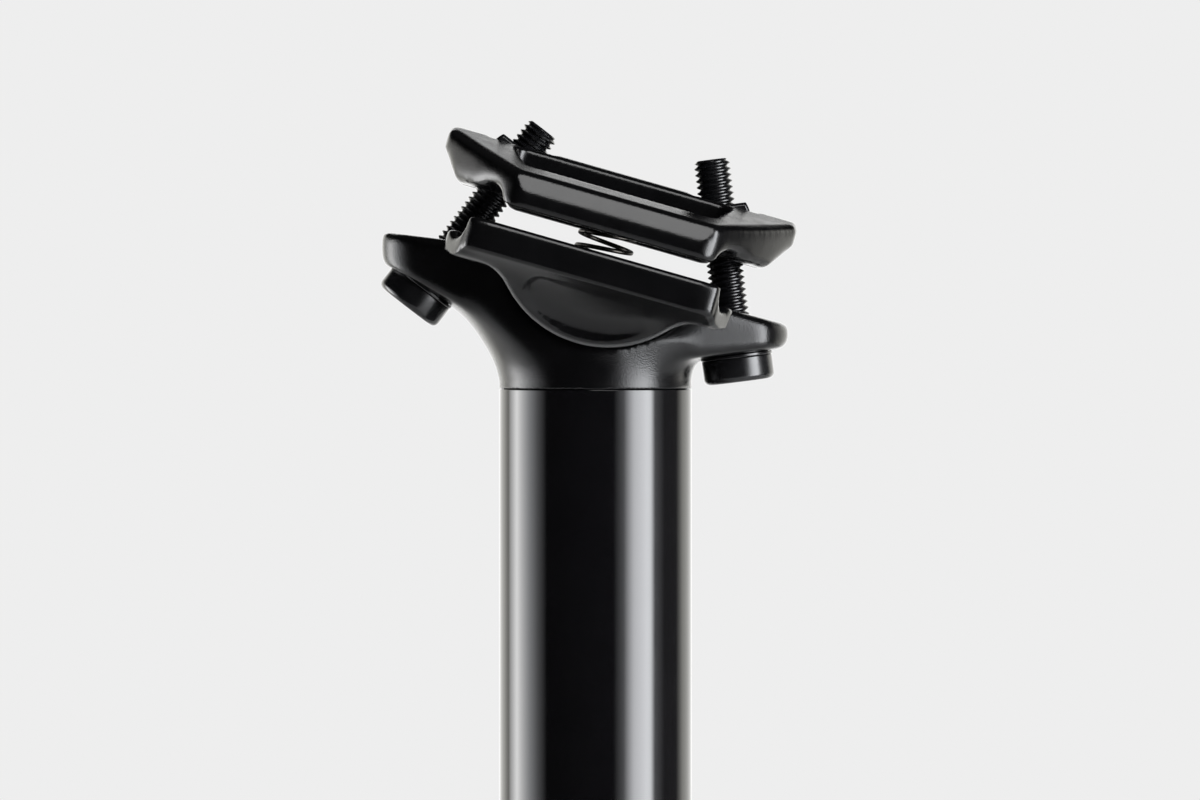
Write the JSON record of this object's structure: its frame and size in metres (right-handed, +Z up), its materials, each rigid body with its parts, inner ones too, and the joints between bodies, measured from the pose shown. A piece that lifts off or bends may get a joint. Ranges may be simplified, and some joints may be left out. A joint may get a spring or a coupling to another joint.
{
  "type": "bicycle seatpost",
  "caption": "Round bicycle seatpost with a forged eared head, a rocking half-moon cradle and a ridged, bolted upper clamp that grips the saddle rails.",
  "frame": {"origin": "centre of the tube's open lower end, on the tube's axis", "axes": "+Z up along the tube to the saddle clamp, +X forwards to the saddle's nose, +Y to the rider's left"},
  "size_m": [0.0683, 0.058, 0.3689],
  "materials": {
    "tube": "gloss black anodised",
    "forging": "satin bead-blasted black anodised",
    "fastener": "black oxide",
    "spring_wire": "dark drawn wire"
  },
  "bodies": {
    "post": {"post_tube": "tube", "head": "forging", "rear_bolt": "fastener", "front_bolt": "fastener", "rear_washer": "fastener", "front_washer": "fastener"},
    "cradle": {"lower_cradle": "forging", "clamp_spring": "spring_wire"},
    "top_clamp": {"upper_clamp": "forging"},
    "rear_barrel": {"rear_nut": "fastener"},
    "front_barrel": {"front_nut": "fastener"}
  },
  "joints": [
    {"name": "clamp_tilt", "type": "hinge", "parent": "post", "child": "cradle", "pos_m": [0.002, 0, 0.35], "axis": [0, 1, 0], "range_deg": [-5, 5]},
    {"name": "top_clamp_press", "type": "slide", "parent": "cradle", "child": "top_clamp", "axis": [-0.274, 0, -0.9617], "range_m": [0, 0.0025], "stiffness_N_per_m": 940, "springref_m": -0.002, "deforming": ["clamp_spring"]},
    {"name": "rear_nut_travel", "type": "slide", "parent": "post", "child": "rear_barrel", "axis": [0.6115, 0, 0.7912], "range_m": [-0.0017, 0.0017]},
    {"name": "front_nut_travel", "type": "slide", "parent": "post", "child": "front_barrel", "axis": [-0.1271, 0, 0.9919], "range_m": [-0.0017, 0.0017]}
  ],
  "couplings": [
    {"joint": "rear_nut_travel", "follows": "clamp_tilt", "m_per_rad": 0.01903},
    {"joint": "front_nut_travel", "follows": "clamp_tilt", "m_per_rad": -0.01849}
  ]
}
